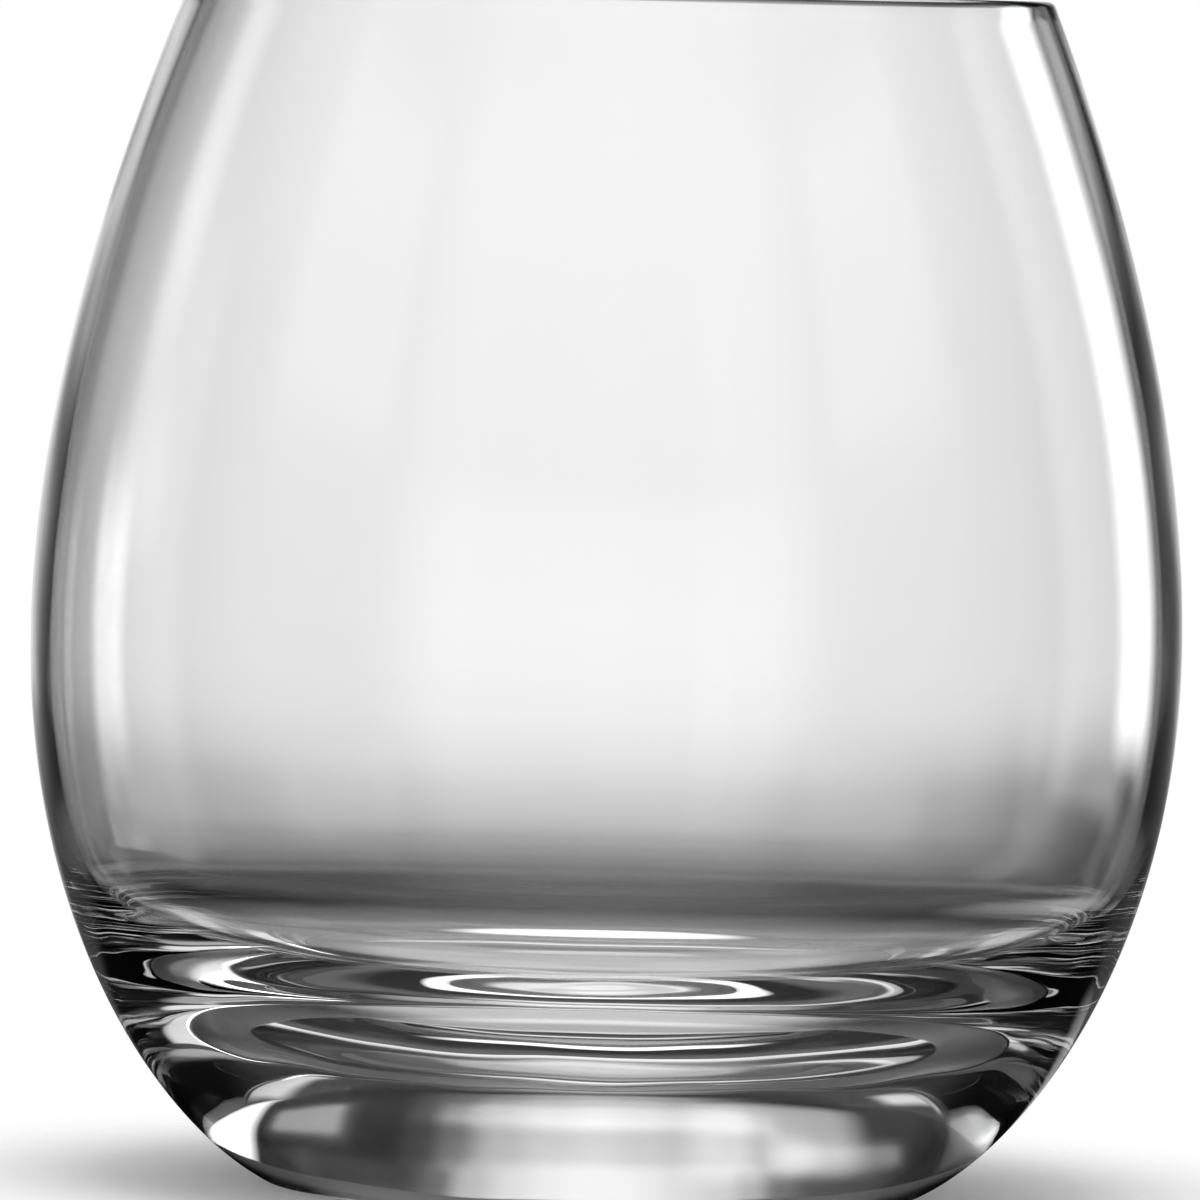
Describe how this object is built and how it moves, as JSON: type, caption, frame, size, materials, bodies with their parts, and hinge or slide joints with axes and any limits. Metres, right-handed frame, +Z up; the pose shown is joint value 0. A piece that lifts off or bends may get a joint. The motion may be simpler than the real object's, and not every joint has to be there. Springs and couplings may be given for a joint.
{
  "type": "drinking tumbler",
  "caption": "Egg-shaped stemless drinking tumbler of clear glass, with a rounded lip, a thin tapering wall and a heavy solid base that stands on a flat ring.",
  "frame": {"origin": "centre of the foot, on the surface that the tumbler stands on", "axes": "+Z up along the axis of revolution, from the foot to the lip; the tumbler is round, so X and Y are free"},
  "size_m": [0.094, 0.094, 0.0976],
  "materials": {
    "clear_glass": "clear colourless glass, fire-polished, gloss"
  },
  "bodies": {
    "root": {"glass_body": "clear_glass"}
  },
  "joints": []
}
